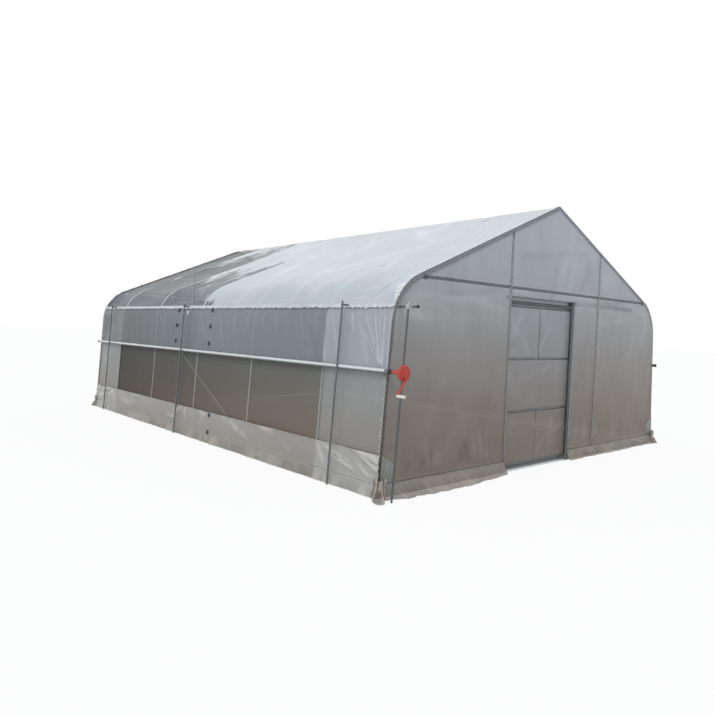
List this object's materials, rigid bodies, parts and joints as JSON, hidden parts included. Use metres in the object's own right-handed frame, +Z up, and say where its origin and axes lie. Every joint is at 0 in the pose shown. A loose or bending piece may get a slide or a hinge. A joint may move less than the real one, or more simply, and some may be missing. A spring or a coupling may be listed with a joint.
{
  "type": "film tunnel greenhouse",
  "caption": "Film-covered tunnel greenhouse on bent pipe bows, with a sliding door, lock channels and roll-up sides on gear winches.",
  "frame": {"origin": "middle of the bounding box on the ground, which is the middle of the house", "axes": "+X across the gable to the right as seen from the door side, +Y along the house from the door to the rear gable, +Z up"},
  "size_m": [6.1834, 8.746, 3.2935],
  "materials": {
    "galvanised_pipe": "dull galvanised",
    "lock_channel": "satin",
    "clear_film": "milky polythene film",
    "skirt_film": "dusty polythene film",
    "insect_net": "fine woven mesh",
    "roll_tube": "film wound on a pipe",
    "red_casting": "semi-gloss",
    "white_grip": "matte"
  },
  "bodies": {
    "house": {"bow_1": "galvanised_pipe", "bow_2": "galvanised_pipe", "bow_3": "galvanised_pipe", "bow_4": "galvanised_pipe", "bow_5": "galvanised_pipe", "bow_6": "galvanised_pipe", "bow_7": "galvanised_pipe", "ridge_purlin": "galvanised_pipe", "side_purlins": "galvanised_pipe", "left_eave_purlin": "galvanised_pipe", "right_eave_purlin": "galvanised_pipe", "wind_braces": "galvanised_pipe", "tie_bars": "galvanised_pipe", "front_posts": "galvanised_pipe", "rear_posts": "galvanised_pipe", "door_jamb": "galvanised_pipe", "eave_channels": "lock_channel", "base_channels": "lock_channel", "post_channels": "lock_channel", "leg_channels": "lock_channel", "front_bow_channel": "lock_channel", "rear_bow_channel": "lock_channel", "roof_film": "clear_film", "front_film_left": "clear_film", "front_film_over_door": "clear_film", "front_film_beside_door": "clear_film", "front_film_right": "clear_film", "rear_film": "clear_film", "end_films": "clear_film", "nets": "insect_net", "curtains": "clear_film", "side_skirts": "skirt_film", "gable_skirts": "skirt_film", "roll_tubes": "roll_tube", "hold_rods": "galvanised_pipe", "guide_poles": "galvanised_pipe", "left_winch": "red_casting", "right_winch": "red_casting", "door_track": "galvanised_pipe"},
    "door_leaf": {"door_frame": "galvanised_pipe", "door_film": "clear_film", "door_trolleys": "galvanised_pipe"},
    "left_crank": {"left_crank": "red_casting", "left_grip": "white_grip"},
    "right_crank": {"right_crank": "red_casting", "right_grip": "white_grip"}
  },
  "joints": [
    {"name": "door_slide", "type": "slide", "parent": "house", "child": "door_leaf", "axis": [1, 0, 0], "range_m": [0, 1.44]},
    {"name": "left_crank_turn", "type": "hinge", "parent": "house", "child": "left_crank", "pos_m": [-2.95403, -4.245, 1.19], "axis": [0, 1, 0], "continuous": true},
    {"name": "right_crank_turn", "type": "hinge", "parent": "house", "child": "right_crank", "pos_m": [2.95403, 4.245, 1.19], "axis": [0, 1, 0], "continuous": true}
  ]
}
